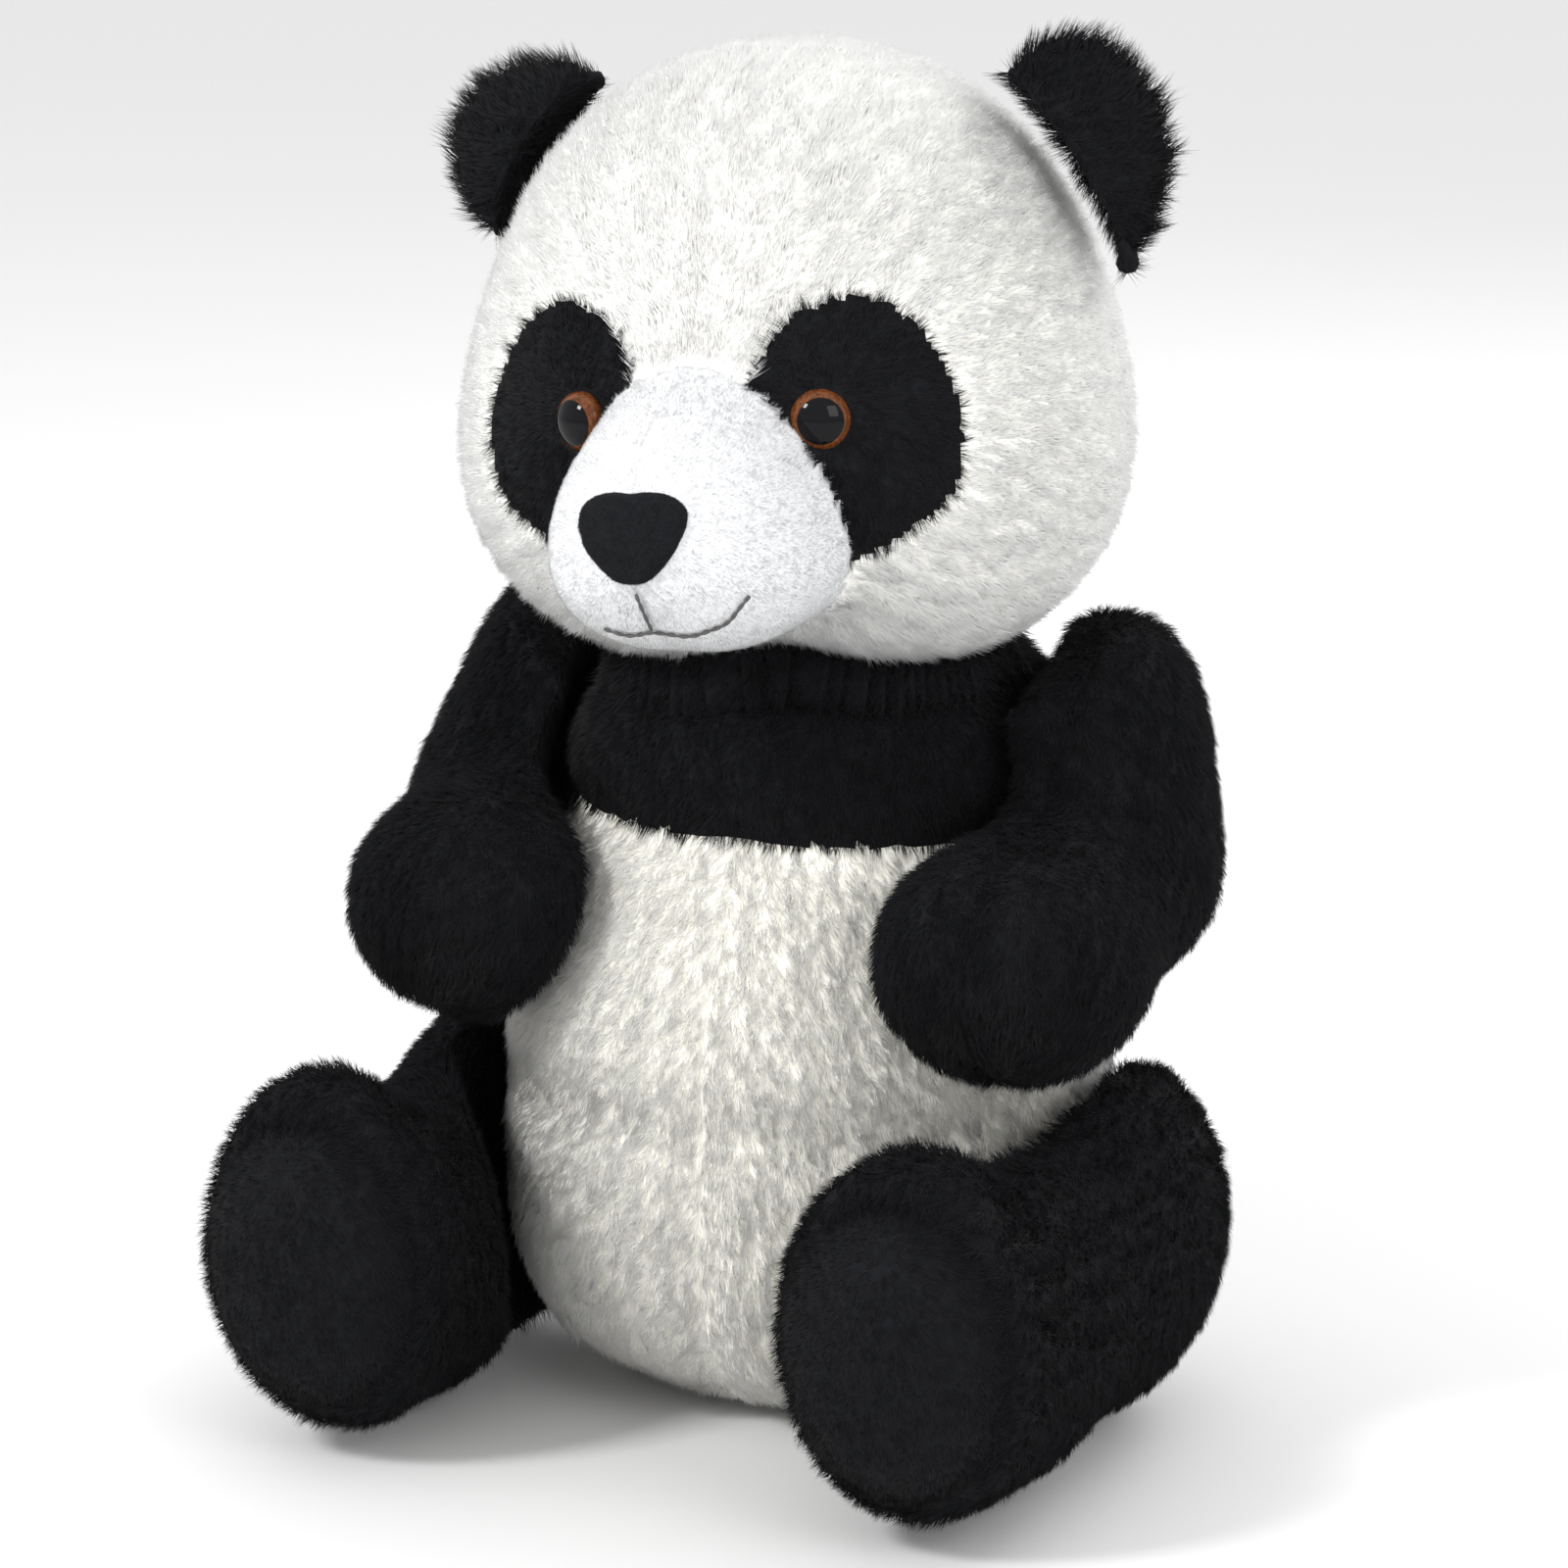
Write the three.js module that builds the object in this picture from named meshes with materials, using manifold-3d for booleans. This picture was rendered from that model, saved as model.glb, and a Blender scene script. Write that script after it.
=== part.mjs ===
// A seated stuffed panda, in millimetres, +Z up, facing -Y, with its own left side on +X.
// The origin is the centre of the flat base it sits on.
import * as THREE from 'three';
import { mergeVertices } from 'three/addons/utils/BufferGeometryUtils.js';
import Module from 'manifold-3d';

const wasm = await Module();
wasm.setup();

// Driving dimensions
const GAP = 0.3;                 // clearance between sewn neighbours
const FACET = 2.5;               // more room beside a coarse form's flat facets
const SKIN = 8;                  // backing cloth and pile together
const HEAD_CENTRE = [0, 0, 342];
const HEAD_ROLL = -3.8;          // degrees about Y: its left side sits higher
const HEAD_YAW = 3.2;            // degrees about Z: turned a little to its left
const NECK = [0, 8, 248];        // centre of the ball-shaped neck stuffing
const NECK_RADIUS = 24;
const NECK_TURN = 20;            // degrees each way
const NECK_NOD = [-6, 5];        // degrees, back and forward
const SHOULDER = [80, 24, 221];
const SHOULDER_RAISE = 15;       // degrees, upwards only: the arms rest on the legs
const HIP = [88, 24, 60];
const HIP_SPLAY = 8;             // degrees each way
const EAR_ROOT = { left: [82, 12, 52], right: [78, 12, 60] }; // on the head, from its centre
const EAR_FLEX = 15;             // degrees each way
const EYE = [39.5, -81, -8.5];      // from the head's centre
const EYE_TURN = 22;             // degrees that each eye looks outwards
const EYE_RADIUS = 9;
const NOSE_HEIGHT = -36;         // of the nose pad's middle, from the head's centre
const NOSE_CROWN = 1.5;          // how far the pad stands proud of the muzzle
const MOUTH_DROP = 29;           // from the nose pad's middle to the fork of the mouth
const MOUTH_THREAD_RADIUS = 0.9;
const CHEST_SEAM_HEIGHT = 194;   // lower edge of the black chest band at the front
const BACK_SEAM_HEIGHT = 186;    // lower edge of the black yoke at the back
const SEAT_THICKNESS = 6;
const ARM_SEAM = 98;             // from the middle of the body to the seam between an arm's panels

const wordFor = (side) => (side > 0 ? 'left' : 'right');

// Stuffed forms: a middle point, and the lobes that the form is blended from, by centre and radii
const HEAD = {
  middle: [0, 0, -5],
  lobes: [
    { centre: [0, 3, 10], radii: [103, 91, 96] },
    { centre: [40, -6, -26], radii: [74, 78, 74] },
    { centre: [-40, -6, -26], radii: [74, 78, 74] },
  ],
};
const MUZZLE = {
  middle: [0, -80, -38],
  lobes: [
    { centre: [0, -84, -25], radii: [33, 56, 33] },
    { centre: [14, -88, -46], radii: [32, 52, 32] },
    { centre: [-14, -88, -46], radii: [32, 52, 32] },
  ],
};
const TORSO = {
  middle: [0, 10, 120],
  lobes: [
    { centre: [0, 8, 56], radii: [104, 90, 76] },
    { centre: [0, 9, 108], radii: [106, 92, 98] },
    { centre: [0, 25, 190], radii: [96, 79, 88] },
  ],
};
// Its right hand is held a little closer
const HAND_SPREAD = { left: 98, right: 88 };
const armForm = (side) => ({
  middle: [side * 100, -8, 183],
  lobes: [
    { centre: [side * 88, 28, 222], radii: [46, 49, 50] },
    { centre: [side * 107, 9, 184], radii: [39, 45, 42] },
    { centre: [side * HAND_SPREAD[wordFor(side)], -52, 166], radii: [49, 50, 44] },
  ],
});
const legForm = (side) => ({
  middle: [side * 104, -60, 60],
  lobes: [
    { centre: [side * 103, 2, 64], radii: [46, 74, 65] },
    { centre: [side * 102, -78, 56], radii: [43, 60, 56] },
    { centre: [side * 100, -132, 70], radii: [51, 34, 68] },
  ],
});
// Its left ear is sewn on lower, and is the longer of the two
const EARS = {
  left: {
    middle: [90, 12, 56],
    lobes: [
      { centre: [94, 12, 62], radii: [37, 15, 46] },
      { centre: [85, 12, 50], radii: [28, 17, 34] },
    ],
  },
  right: {
    middle: [-84, 12, 62],
    lobes: [
      { centre: [-89, 12, 67], radii: [40, 15, 38] },
      { centre: [-80, 12, 58], radii: [31, 17, 28] },
    ],
  },
};
const BLEND = 18;                // how far the lobes melt into each other

// Outline of the left eye patch, seen from the front, from the head's centre
const EYE_PATCH_OUTLINE = [
  [21, 9], [32, 23], [50, 27], [67, 16], [78, -10], [76, -32], [60, -45], [42, -53], [28, -40], [20, -16],
];
// Half outline of the nose pad, from its middle
const NOSE_OUTLINE = [[0, 14.5], [10, 14.5], [18, 9], [15.5, -2], [6.5, -12], [0, -14.5]];
// The sole's ellipse on the foot: middle from the front, and radii
const SOLE = { middle: [100, 68], radii: [37, 47] };

const MATERIALS = {
  white_fur: new THREE.MeshStandardMaterial({ color: '#f3f1ea', roughness: 0.95, metalness: 0 }),
  black_fur: new THREE.MeshStandardMaterial({ color: '#0b0c0f', roughness: 0.9, metalness: 0 }),
  muzzle_pile: new THREE.MeshStandardMaterial({ color: '#f6f5f2', roughness: 0.9, metalness: 0 }),
  nose_velvet: new THREE.MeshStandardMaterial({ color: '#08080a', roughness: 0.85, metalness: 0 }),
  thread: new THREE.MeshStandardMaterial({ color: '#3a3a3d', roughness: 0.7, metalness: 0 }),
  eye_plastic: new THREE.MeshStandardMaterial({ color: '#0a0604', roughness: 0.08, metalness: 0 }),
  washer_plastic: new THREE.MeshStandardMaterial({ color: '#e9e9e4', roughness: 0.5, metalness: 0 }),
  stuffing: new THREE.MeshStandardMaterial({ color: '#fbfbf8', roughness: 1, metalness: 0 }),
};

// Solids and meshes

function solidOf(geometry) {
  const bare = geometry.clone();
  bare.deleteAttribute('normal');
  bare.deleteAttribute('uv');
  const merged = mergeVertices(bare, 1e-4);
  return new wasm.Manifold(new wasm.Mesh({
    numProp: 3,
    vertProperties: new Float32Array(merged.attributes.position.array),
    triVerts: new Uint32Array(merged.index.array),
  }));
}

function geometryOf(solid) {
  const mesh = solid.getMesh();
  const geometry = new THREE.BufferGeometry();
  geometry.setAttribute('position', new THREE.BufferAttribute(Float32Array.from(mesh.vertProperties), 3));
  geometry.setIndex(new THREE.BufferAttribute(Uint32Array.from(mesh.triVerts), 1));
  geometry.computeVertexNormals();
  return geometry;
}

// A cut can leave loose crumbs beside the piece itself, which is the largest part
function largestPart(solid) {
  const parts = solid.decompose();
  return parts.reduce((best, part) => (part.volume() > best.volume() ? part : best), parts[0]);
}

const group = new THREE.Group();
const head = new THREE.Group();
head.position.set(...HEAD_CENTRE);
head.rotation.set(0, THREE.MathUtils.degToRad(HEAD_ROLL), THREE.MathUtils.degToRad(HEAD_YAW), 'ZYX');
head.updateMatrix();
group.add(head);

function addPiece(parent, name, material, solid) {
  const mesh = new THREE.Mesh(geometryOf(largestPart(solid)), MATERIALS[material]);
  mesh.name = name;
  parent.add(mesh);
}

// Distance from a point to a lobe's surface, negative inside
function lobeDistance(point, lobe) {
  const scaled = lobe.centre.map((c, i) => (point[i] - c) / lobe.radii[i]);
  const steep = lobe.centre.map((c, i) => (point[i] - c) / lobe.radii[i] ** 2);
  const reach = Math.hypot(...scaled);
  return reach < 1e-6 ? -Math.min(...lobe.radii) : (reach * (reach - 1)) / Math.hypot(...steep);
}

function formDistance(point, form) {
  return form.lobes.map((lobe) => lobeDistance(point, lobe)).reduce((a, b) => {
    const share = THREE.MathUtils.clamp(0.5 + (0.5 * (a - b)) / BLEND, 0, 1);
    return a + (b - a) * share - BLEND * share * (1 - share);
  });
}

// A closed form: an icosphere pushed out from the middle to the blended lobes, less an inset
function softForm(form, detail, inset = 0) {
  const geometry = new THREE.IcosahedronGeometry(1, detail);
  const position = geometry.attributes.position;
  const direction = new THREE.Vector3();
  for (let i = 0; i < position.count; i += 1) {
    direction.fromBufferAttribute(position, i).normalize();
    let inside = 0;
    let outside = 400;
    for (let step = 0; step < 30; step += 1) {
      const reach = (inside + outside) / 2;
      const point = form.middle.map((m, axis) => m + reach * direction.getComponent(axis));
      if (formDistance(point, form) < -inset) inside = reach;
      else outside = reach;
    }
    direction.multiplyScalar(inside).add(new THREE.Vector3(...form.middle));
    position.setXYZ(i, direction.x, direction.y, direction.z);
  }
  return solidOf(geometry);
}

function box(low, high) {
  const size = high.map((value, i) => value - low[i]);
  const geometry = new THREE.BoxGeometry(...size);
  geometry.translate(...low.map((value, i) => value + size[i] / 2));
  return solidOf(geometry);
}

function ball(centre, radius) {
  const geometry = new THREE.IcosahedronGeometry(radius, 3);
  geometry.translate(...centre);
  return solidOf(geometry);
}

// A straight prism along Y between two depths, from an outline seen from the front
function frontPrism(outline, near, far, margin, samples) {
  const loop = new THREE.CatmullRomCurve3(outline.map(([x, z]) => new THREE.Vector3(x, z, 0)), true);
  const points = loop.getSpacedPoints(samples).slice(0, samples);
  const middle = points.reduce((sum, p) => sum.add(p), new THREE.Vector3()).divideScalar(samples);
  const grown = points.map((p) => {
    const away = p.clone().sub(middle);
    return p.clone().add(away.normalize().multiplyScalar(margin));
  });
  const shape = new THREE.Shape(grown.map((p) => new THREE.Vector2(p.x, p.y)));
  const geometry = new THREE.ExtrudeGeometry(shape, { depth: far - near, bevelEnabled: false });
  geometry.rotateX(Math.PI / 2);
  geometry.translate(0, far, 0);
  return solidOf(geometry);
}

const mirrored = (outline, side) => outline.map(([x, z]) => [side * x, z]);

// The space that a solid sweeps as it turns about an axis through a pivot
function swept(solid, pivot, axis, angles) {
  const direction = new THREE.Vector3(...axis).normalize();
  return angles.map((angle) => {
    const turn = new THREE.Matrix4().makeRotationAxis(direction, THREE.MathUtils.degToRad(angle));
    const place = new THREE.Matrix4().makeTranslation(...pivot)
      .multiply(turn)
      .multiply(new THREE.Matrix4().makeTranslation(...pivot.map((value) => -value)));
    return solid.transform(place.elements);
  }).reduce((all, part) => all.add(part));
}

// Whole forms, which the panels and the stuffing are cut from

const FLOOR = box([-300, -300, -100], [300, 300, 0]);
const headOuter = softForm(HEAD, 6);
const headInner = softForm(HEAD, 3, SKIN);
const muzzleOuter = softForm(MUZZLE, 4);
const muzzleInner = softForm(MUZZLE, 2, SKIN);
const torsoOuter = softForm(TORSO, 6).subtract(FLOOR);
const torsoInner = softForm(TORSO, 3, SKIN)
  .subtract(box([-300, -300, -100], [300, 300, SEAT_THICKNESS]));

// The torso with room around it, which the limbs are cut by as they swing
const torsoNear = softForm(TORSO, 6, -GAP);
const torsoCoarse = softForm(TORSO, 4, -GAP - FACET);

// What the head sweeps in the frame of the body, as it turns and nods
const neckRoom = ball(NECK, NECK_RADIUS + FACET);
const headClear = softForm(HEAD, 4, -GAP - FACET)
  .add(softForm(MUZZLE, 3, -GAP - FACET))
  .transform(head.matrix.elements);
const headNodding = swept(headClear, NECK, [1, 0, 0], [NECK_NOD[0], 0, NECK_NOD[1]]);
const headSweep = swept(headNodding, NECK, [0, 0, 1], [-NECK_TURN, -NECK_TURN / 2, 0, NECK_TURN / 2, NECK_TURN]);
const toHead = head.matrix.clone().invert().elements;
const neckInHead = neckRoom.transform(toHead);

// Head

function buildHead() {
  const innerWhole = headInner.add(muzzleInner);
  const muzzleRoom = softForm(MUZZLE, 4, -GAP);
  const shell = headOuter.subtract(muzzleRoom).subtract(innerWhole).subtract(neckInHead);
  const eyeHoles = [1, -1].map((side) => eyeSolid(side, GAP)).reduce((a, b) => a.add(b));
  const backHalf = box([-200, 6, -200], [200, 200, 200]);
  const frontHalf = box([-200, -200, -200], [200, 6 - GAP, 200]);
  const patches = [1, -1].map((side) => frontPrism(mirrored(EYE_PATCH_OUTLINE, side), -200, -20, GAP, 24))
    .reduce((a, b) => a.add(b));
  const front = shell.intersect(frontHalf).subtract(patches);
  addPiece(head, 'head_back', 'white_fur', shell.intersect(backHalf));
  for (const [side, word] of [[1, 'left'], [-1, 'right']]) {
    const half = side > 0 ? box([GAP / 2, -200, -200], [200, 200, 200])
      : box([-200, -200, -200], [-GAP / 2, 200, 200]);
    const patch = frontPrism(mirrored(EYE_PATCH_OUTLINE, side), -200, -20, 0, 24);
    addPiece(head, `face_${word}`, 'white_fur', front.intersect(half));
    addPiece(head, `eye_patch_${word}`, 'black_fur', shell.intersect(patch).subtract(eyeHoles));
    buildMuzzleHalf(half, word, innerWhole.add(eyeHoles));
    addPiece(head, `eye_${word}`, 'eye_plastic', eyeSolid(side, 0));
    addPiece(head, `eye_washer_${word}`, 'washer_plastic', washerSolid(side, 0));
  }
  buildNoseAndMouth(innerWhole);
  const hardware = [1, -1].map((side) => eyeSolid(side, GAP).add(washerSolid(side, GAP)))
    .reduce((a, b) => a.add(b));
  const stuffing = softForm(HEAD, 3, SKIN + GAP)
    .add(softForm(MUZZLE, 2, SKIN + GAP));
  addPiece(head, 'head_stuffing', 'stuffing', stuffing.subtract(hardware).subtract(neckInHead));
}

function buildMuzzleHalf(half, word, innerWhole) {
  const noseRoom = frontPrism(fullNose(), -200, -90, GAP, 20);
  const threadRoom = mouthThread(MOUTH_THREAD_RADIUS + GAP);
  const inFront = box([-200, -200, -200], [200, -72, 200]);
  const muzzleHalf = muzzleOuter.intersect(half).intersect(inFront).subtract(innerWhole)
    .subtract(noseRoom).subtract(threadRoom);
  addPiece(head, `muzzle_${word}`, 'muzzle_pile', muzzleHalf);
}

function fullNose() {
  const right = NOSE_OUTLINE.map(([x, z]) => [x, z + NOSE_HEIGHT]);
  const left = NOSE_OUTLINE.slice(1, -1).reverse().map(([x, z]) => [-x, z + NOSE_HEIGHT]);
  return [...right, ...left];
}

function buildNoseAndMouth(innerWhole) {
  const crowned = softForm(MUZZLE, 4, -NOSE_CROWN);
  const pad = crowned.intersect(frontPrism(fullNose(), -200, -90, 0, 20)).subtract(innerWhole);
  addPiece(head, 'nose', 'nose_velvet', pad);
  addPiece(head, 'mouth_thread', 'thread', mouthThread(MOUTH_THREAD_RADIUS));
}

// The muzzle's front surface at a place seen from the front
function onMuzzle(x, z) {
  let near = -200;
  let far = -60;
  for (let step = 0; step < 30; step += 1) {
    const depth = (near + far) / 2;
    if (formDistance([x, depth, z], MUZZLE) < 0) far = depth;
    else near = depth;
  }
  return new THREE.Vector3(x, far, z);
}

function threadAlong(places, radius, steps) {
  const path = new THREE.CatmullRomCurve3(places.map(([x, z]) => onMuzzle(x, z)));
  const section = new THREE.Shape(Array.from({ length: 6 }, (_, i) => {
    const angle = (i * Math.PI) / 3;
    return new THREE.Vector2(radius * Math.cos(angle), radius * Math.sin(angle));
  }));
  return solidOf(new THREE.ExtrudeGeometry(section, { extrudePath: path, steps, bevelEnabled: false }));
}

function mouthThread(radius) {
  const fork = NOSE_HEIGHT - MOUTH_DROP;
  const smile = [[-17, fork + 1], [-9, fork - 2], [0, fork], [11, fork - 2], [23, fork + 2], [31, fork + 11]];
  const philtrum = [[0, NOSE_HEIGHT - 15.8], [0.5, NOSE_HEIGHT - 22], [0, fork]];
  return threadAlong(smile, radius, 18).add(threadAlong(philtrum, radius, 5));
}

// A safety eye: dome, flange and shank turned about the line it looks along
function eyeSolid(side, margin) {
  const r = EYE_RADIUS + margin;
  const shank = 2 + margin;
  const profile = [[0, 7 + margin]];
  for (let i = 1; i <= 5; i += 1) {
    const angle = (i * Math.PI) / 10;
    profile.push([r * Math.sin(angle), margin + 7 * Math.cos(angle)]);
  }
  profile.push([r, -1.5 - margin], [shank, -1.5 - margin], [shank, -17 - margin], [0, -17 - margin]);
  return turnedAtEye(side, profile);
}

// The lock washer on the shank, behind the cloth
function washerSolid(side, margin) {
  const bore = margin > 0 ? 0 : 2 + GAP;
  const profile = [[bore, -10.5 + margin], [8 + margin, -10.5 + margin], [8 + margin, -12.5 - margin],
    [bore, -12.5 - margin]];
  if (bore > 0) profile.push(profile[0]);
  return turnedAtEye(side, profile);
}

function turnedAtEye(side, profile) {
  const points = profile.map(([radius, along]) => new THREE.Vector2(radius, along)).reverse();
  const geometry = new THREE.LatheGeometry(points, 16);
  geometry.rotateX(Math.PI);
  geometry.rotateZ(THREE.MathUtils.degToRad(side * EYE_TURN));
  geometry.translate(side * EYE[0], EYE[1], EYE[2]);
  return solidOf(geometry);
}

// Ears

function buildEar(side, word) {
  const root = [side * EAR_ROOT[word][0], EAR_ROOT[word][1], EAR_ROOT[word][2]];
  const hinge = [-root[2], 0, root[0]];
  const headRoom = softForm(HEAD, 6, -GAP);
  const room = swept(headRoom, root, hinge, [-EAR_FLEX, 0, EAR_FLEX]);
  const ear = softForm(EARS[word], 4).subtract(room);
  const seam = EARS[word].lobes[0].centre[1];
  addPiece(head, `ear_front_${word}`, 'black_fur', ear.intersect(box([-300, -300, -300], [300, seam - GAP, 300])));
  addPiece(head, `ear_back_${word}`, 'black_fur', ear.intersect(box([-300, seam, -300], [300, 300, 300])));
}

// Torso

function buildTorso() {
  const body = torsoOuter.subtract(headSweep).subtract(neckRoom);
  const hollow = torsoInner.subtract(headSweep);
  const innerTop = softForm(TORSO, 3, SKIN);
  const shell = body.subtract(innerTop).subtract(box([-300, -300, -10], [300, 300, SEAT_THICKNESS + GAP]));
  const seam = TORSO.lobes[0].centre[1];
  const front = box([-300, -300, 0], [300, seam - GAP, 400]);
  const back = box([-300, seam, 0], [300, 300, 400]);
  addPiece(group, 'chest_band', 'black_fur',
    shell.intersect(front).intersect(box([-300, -300, CHEST_SEAM_HEIGHT], [300, 300, 400])));
  addPiece(group, 'back_yoke', 'black_fur',
    shell.intersect(back).intersect(box([-300, -300, BACK_SEAM_HEIGHT], [300, 300, 400])));
  for (const [side, word] of [[1, 'left'], [-1, 'right']]) {
    const half = side > 0 ? box([GAP / 2, -300, 0], [300, 300, 400]) : box([-300, -300, 0], [-GAP / 2, 300, 400]);
    const belly = shell.intersect(front).intersect(box([-300, -300, 0], [300, 300, CHEST_SEAM_HEIGHT - GAP]));
    const lowerBack = shell.intersect(back).intersect(box([-300, -300, 0], [300, 300, BACK_SEAM_HEIGHT - GAP]));
    addPiece(group, `belly_${word}`, 'white_fur', belly.intersect(half));
    addPiece(group, `back_${word}`, 'white_fur', lowerBack.intersect(half));
  }
  addPiece(group, 'seat_panel', 'white_fur', torsoOuter.intersect(box([-300, -300, 0], [300, 300, SEAT_THICKNESS])));
  addPiece(group, 'torso_stuffing', 'stuffing', softForm(TORSO, 3, SKIN + GAP)
    .intersect(hollow).subtract(box([-300, -300, -100], [300, 300, SEAT_THICKNESS + GAP])).subtract(neckRoom));
  addPiece(group, 'neck_stuffing', 'stuffing', ball(NECK, NECK_RADIUS));
}

// Limbs: an outer and an inner panel around their own stuffing

function buildArm(side, word) {
  const pivot = [side * SHOULDER[0], SHOULDER[1], SHOULDER[2]];
  const form = armForm(side);
  const angles = [1, 2, 3].map((third) => (third * SHOULDER_RAISE) / 3);
  const room = torsoNear.add(headSweep).add(swept(torsoCoarse.add(headSweep), pivot, [1, 0, 0], angles));
  const outer = softForm(form, 4).subtract(room);
  const shell = outer.subtract(softForm(form, 2, SKIN));
  addLimbPanels('arm', word, side, shell, side * ARM_SEAM);
  const stuffing = softForm(form, 2, SKIN + GAP).subtract(room);
  addPiece(group, `arm_stuffing_${word}`, 'stuffing', stuffing);
}

function addLimbPanels(limb, word, side, shell, seam) {
  const [low, high] = side > 0 ? [seam, 300] : [-300, seam];
  const [innerLow, innerHigh] = side > 0 ? [-300, seam - GAP] : [seam + GAP, 300];
  addPiece(group, `${limb}_outer_${word}`, 'black_fur', shell.intersect(box([low, -300, -300], [high, 300, 400])));
  addPiece(group, `${limb}_inner_${word}`, 'black_fur',
    shell.intersect(box([innerLow, -300, -300], [innerHigh, 300, 400])));
}

function buildLeg(side, word) {
  const pivot = [side * HIP[0], HIP[1], HIP[2]];
  const form = legForm(side);
  const room = torsoNear.add(swept(torsoCoarse, pivot, [0, 0, 1], [-HIP_SPLAY, HIP_SPLAY]));
  const outer = softForm(form, 4).subtract(room).subtract(FLOOR);
  const soleOutline = Array.from({ length: 12 }, (_, i) => {
    const angle = (i * Math.PI) / 6;
    return [
      side * SOLE.middle[0] + SOLE.radii[0] * Math.cos(angle),
      SOLE.middle[1] + SOLE.radii[1] * Math.sin(angle),
    ];
  });
  const shell = outer.subtract(softForm(form, 2, SKIN).subtract(box([-300, -300, -100], [300, 300, SKIN])));
  const sides = shell.subtract(frontPrism(soleOutline, -200, -130, GAP, 24));
  addLimbPanels('leg', word, side, sides, form.lobes[1].centre[0]);
  addPiece(group, `foot_sole_${word}`, 'black_fur', shell.intersect(frontPrism(soleOutline, -200, -130, 0, 24)));
  const stuffing = softForm(form, 2, SKIN + GAP).subtract(room)
    .subtract(box([-300, -300, -100], [300, 300, SKIN + GAP]));
  addPiece(group, `leg_stuffing_${word}`, 'stuffing', stuffing);
}

buildHead();
buildTorso();
for (const [side, word] of [[1, 'left'], [-1, 'right']]) {
  buildEar(side, word);
  buildArm(side, word);
  buildLeg(side, word);
}

export default group;
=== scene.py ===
"""Looks of the seated plush panda: skins, pile, face, eyes, light and camera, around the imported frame."""
import math

import bmesh
import bpy
import numpy as np
from mathutils import Euler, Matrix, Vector
from mathutils.bvhtree import BVHTree
from mathutils.kdtree import KDTree


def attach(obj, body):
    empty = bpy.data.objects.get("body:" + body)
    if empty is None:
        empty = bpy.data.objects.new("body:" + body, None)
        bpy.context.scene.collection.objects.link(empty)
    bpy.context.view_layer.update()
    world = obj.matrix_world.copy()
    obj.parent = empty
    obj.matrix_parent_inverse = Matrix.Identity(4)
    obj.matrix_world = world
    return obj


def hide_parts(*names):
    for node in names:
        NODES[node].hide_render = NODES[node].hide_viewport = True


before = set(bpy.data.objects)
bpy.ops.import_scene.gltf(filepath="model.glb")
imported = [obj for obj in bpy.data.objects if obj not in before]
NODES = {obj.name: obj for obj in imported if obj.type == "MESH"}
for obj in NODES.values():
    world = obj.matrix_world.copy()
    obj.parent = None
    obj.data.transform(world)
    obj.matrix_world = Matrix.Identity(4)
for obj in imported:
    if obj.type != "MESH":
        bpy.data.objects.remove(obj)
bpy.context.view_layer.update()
MM = 0.001
SIDES = (("left", 1), ("right", -1))

# The middle of the neck, in the frame
NECK = np.array([0, 8, 248]) * MM

# Where the head sits and how it is turned, as the frame has it
HEAD_CENTRE = Vector((0, 0, 342)) * MM
HEAD_TURN = Euler((0, 0, math.radians(3.2))).to_matrix() @ Euler((0, math.radians(-3.8), 0)).to_matrix()

# The face, in millimetres from the head's centre, and the direction of each eye
EYE = (39.5, -81, -8.5)
EYE_TURN = 22             # degrees outwards
EYE_RADIUS = 9.3 * MM
EYE_HEIGHT = 6.2 * MM
PUPIL_SHARE = 0.8         # of the eye's radius
SHANK_RADIUS = 2 * MM
SHANK_LENGTH = 17 * MM
NOSE_HEIGHT = -36
MOUTH_FORK = -65
STITCH = 3.6              # length of one, in millimetres
THREAD_RADIUS = 0.62 * MM

# Sizes of the cloth
CLOTH_THICK = 1.6 * MM
FILLING_GAP = 2.0 * MM    # between the cloth and the stuffing behind it
PUFF_CAP = 3.0 * MM       # how far the cloth may swell
PRESSURE = 4
SWELL_FRAMES = 20

# The collar between head and torso, and the pile on its rim
COLLAR_TOP = HEAD_CENTRE.z - 30 * MM
COLLAR_REACH = 26 * MM    # the widest gap that it fills
COLLAR_LEAST = 4 * MM     # the narrowest
COLLAR_PLAY = 2.4 * MM    # between the head's cloth and the collar
NECK_CLEAR = 34 * MM      # from the neck's middle to the collar
FRINGE = 26               # strands to each edge of the rim
FRINGE_LENGTH = 8 * MM
FRINGE_WIDTH = 0.18 * MM


def head_point(x, y, z):
    """A place on the head, from its centre in millimetres, in the frame."""
    return HEAD_CENTRE + HEAD_TURN @ (Vector((x, y, z)) * MM)


def on_head(points):
    """Places in the frame, as seen from the head's centre and in its own directions."""
    return (points - np.array(HEAD_CENTRE)) @ np.array(HEAD_TURN)


# Materials


def principled(name, colour, roughness, sheen=0.0, coat=0.0, specular=0.5):
    material = bpy.data.materials.new(name)
    material.use_nodes = True
    shader = material.node_tree.nodes["Principled BSDF"]
    shader.inputs["Base Color"].default_value = (*colour, 1)
    shader.inputs["Roughness"].default_value = roughness
    shader.inputs["Sheen Weight"].default_value = sheen
    shader.inputs["Sheen Roughness"].default_value = 0.4
    shader.inputs["Coat Weight"].default_value = coat
    shader.inputs["Specular IOR Level"].default_value = specular
    return material


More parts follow.
